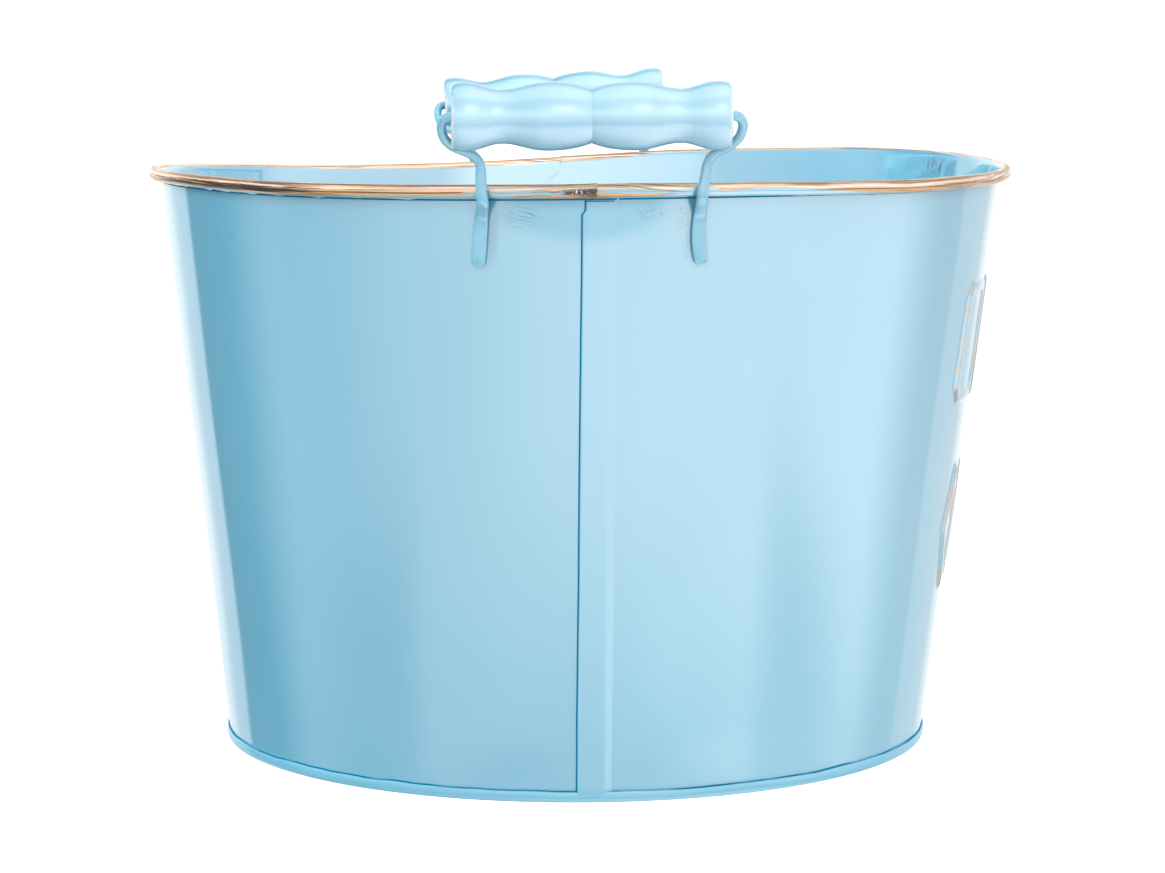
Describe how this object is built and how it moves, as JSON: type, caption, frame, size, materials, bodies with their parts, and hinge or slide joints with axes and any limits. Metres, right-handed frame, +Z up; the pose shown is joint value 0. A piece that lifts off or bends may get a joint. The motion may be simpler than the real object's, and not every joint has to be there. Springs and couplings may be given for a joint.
{
  "type": "oval metal tub",
  "caption": "Open oval sheet-metal tub with a wired rolled rim, lock seams, a hemmed base pan and turned wooden grips that spin on bent wire handles.",
  "frame": {"origin": "Middle of the rim's oval, on the floor that the tub stands on: the centre of the bottom of the bounding box.", "axes": "+Z up; +Y along the tub from the front handle to the rear one; +X across the tub, towards the side with the raised ornament."},
  "size_m": [0.3489, 0.4836, 0.2676],
  "materials": {
    "body_paint": "light blue brushed-on semi-gloss paint, rubbed back to gold-brown on the rolled rim",
    "rim_steel": "drawn steel wire, hidden in the rim",
    "handle_paint": "light blue brushed-on paint over steel wire",
    "grip_paint": "turned wood under thin pale blue paint with brush strokes",
    "weld_metal": "resistance weld under paint"
  },
  "bodies": {
    "tub": {"wall_right": "body_paint", "wall_left": "body_paint", "base_pan": "body_paint", "rim_wire": "rim_steel", "front_handle": "handle_paint", "rear_handle": "handle_paint", "front_left_upper_weld": "weld_metal", "front_left_lower_weld": "weld_metal", "front_right_upper_weld": "weld_metal", "front_right_lower_weld": "weld_metal", "rear_left_upper_weld": "weld_metal", "rear_left_lower_weld": "weld_metal", "rear_right_upper_weld": "weld_metal", "rear_right_lower_weld": "weld_metal"},
    "front_grip": {"front_grip": "grip_paint"},
    "rear_grip": {"rear_grip": "grip_paint"}
  },
  "joints": [
    {"name": "front_grip_spin", "type": "hinge", "parent": "tub", "child": "front_grip", "pos_m": [-0.0035, -0.2294, 0.2545], "axis": [1, 0, 0], "continuous": true},
    {"name": "rear_grip_spin", "type": "hinge", "parent": "tub", "child": "rear_grip", "pos_m": [-0.0035, 0.2294, 0.2533], "axis": [0.9991, 0, 0.0429], "continuous": true}
  ]
}
